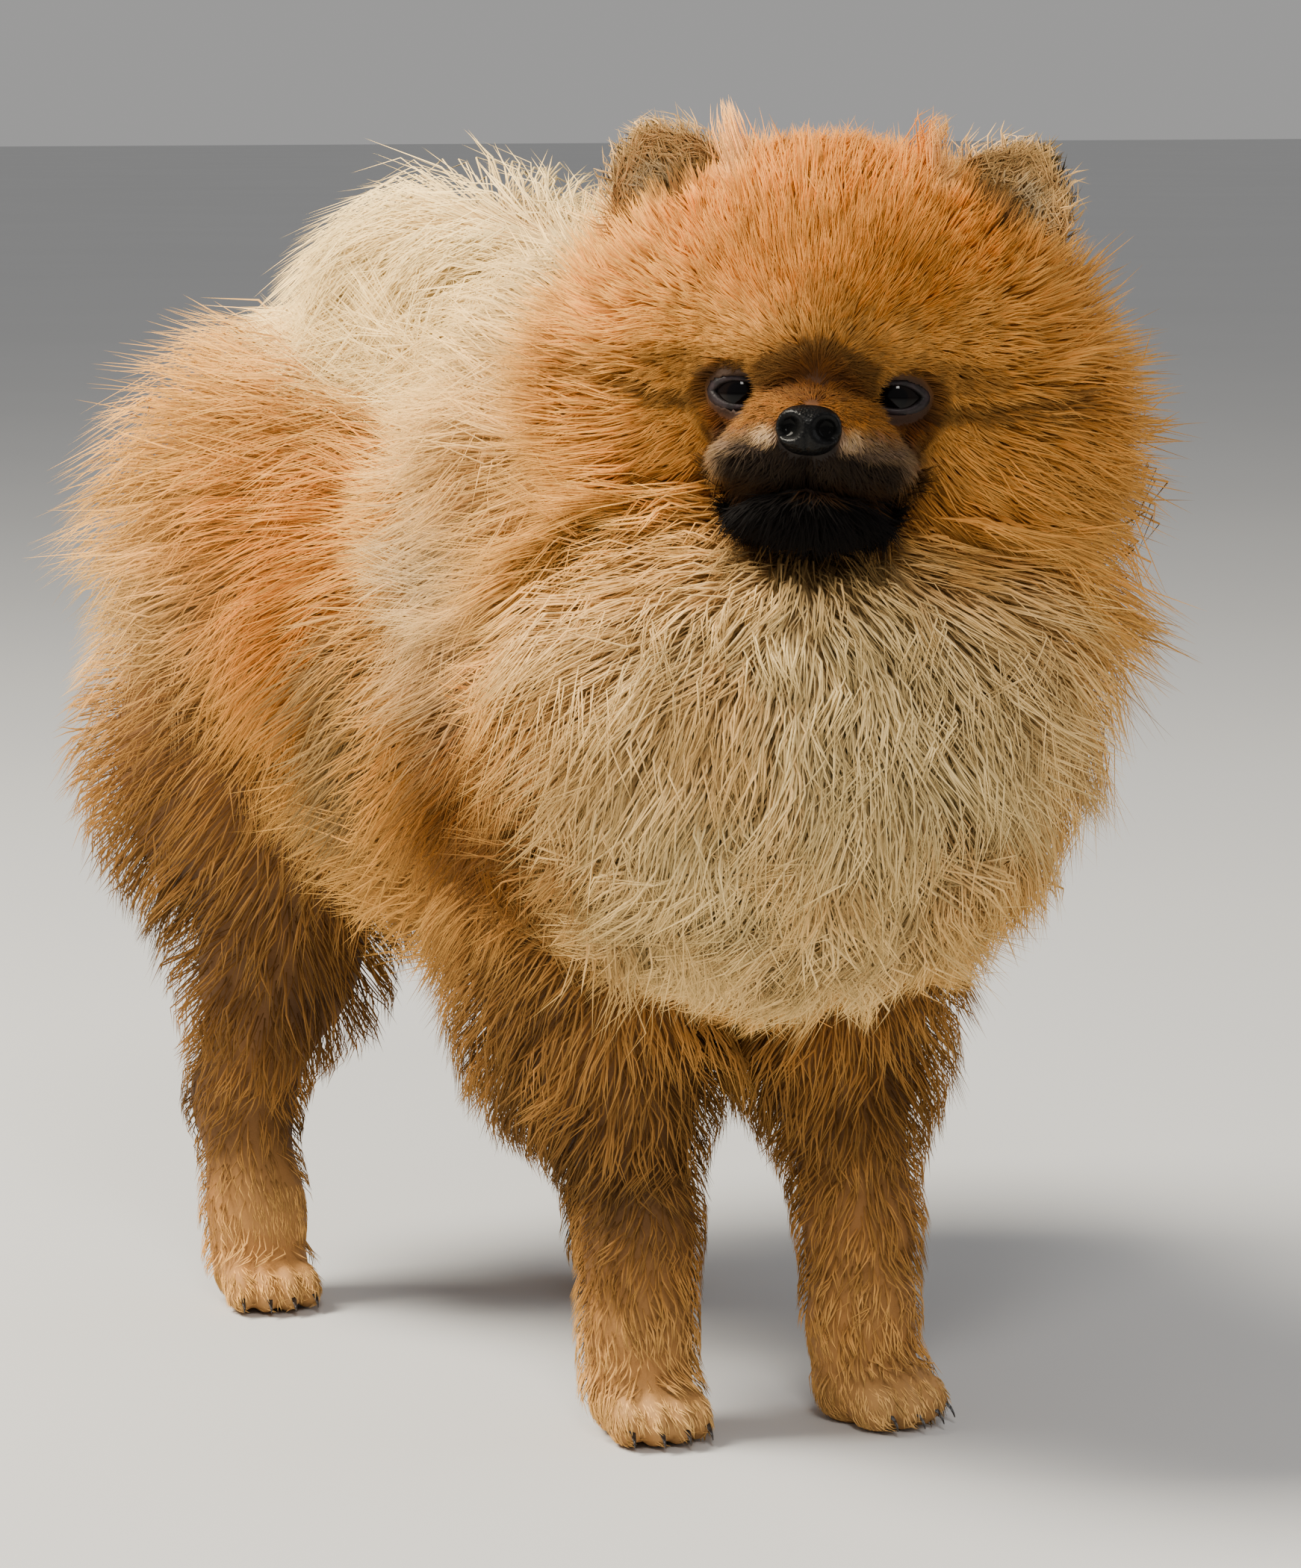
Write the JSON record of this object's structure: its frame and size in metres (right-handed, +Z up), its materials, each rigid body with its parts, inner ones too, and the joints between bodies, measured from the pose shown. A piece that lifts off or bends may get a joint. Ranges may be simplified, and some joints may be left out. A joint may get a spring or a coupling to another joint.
{
  "type": "pomeranian",
  "caption": "Small spitz dog with a thick orange and cream coat, standing still on all fours with its head turned and its tail curled over its back.",
  "frame": {"origin": "on the floor, under the middle of the dog's bounding box", "axes": "+Z up, -Y the way the body faces, +X the dog's left side"},
  "size_m": [0.2346, 0.4006, 0.3617],
  "materials": {
    "head_coat": "matte",
    "ear_coat": "matte",
    "ruff": "matte",
    "body_coat": "matte",
    "tail_plume": "matte",
    "leg_coat": "matte",
    "paw_coat": "matte",
    "skin": "matte",
    "mask": "matte",
    "eye": "gloss",
    "nose": "satin",
    "claw": "satin"
  },
  "bodies": {
    "root": {"head": "head_coat", "nose": "nose", "eye_left": "eye", "eye_right": "eye", "ear_left": "ear_coat", "ear_right": "ear_coat", "neck": "ruff", "torso": "body_coat", "tail": "tail_plume", "leg_front_left": "leg_coat", "leg_front_right": "leg_coat", "leg_hind_left": "leg_coat", "leg_hind_right": "leg_coat", "paw_front_left": "paw_coat", "paw_front_right": "paw_coat", "paw_hind_left": "paw_coat", "paw_hind_right": "paw_coat"}
  },
  "joints": []
}
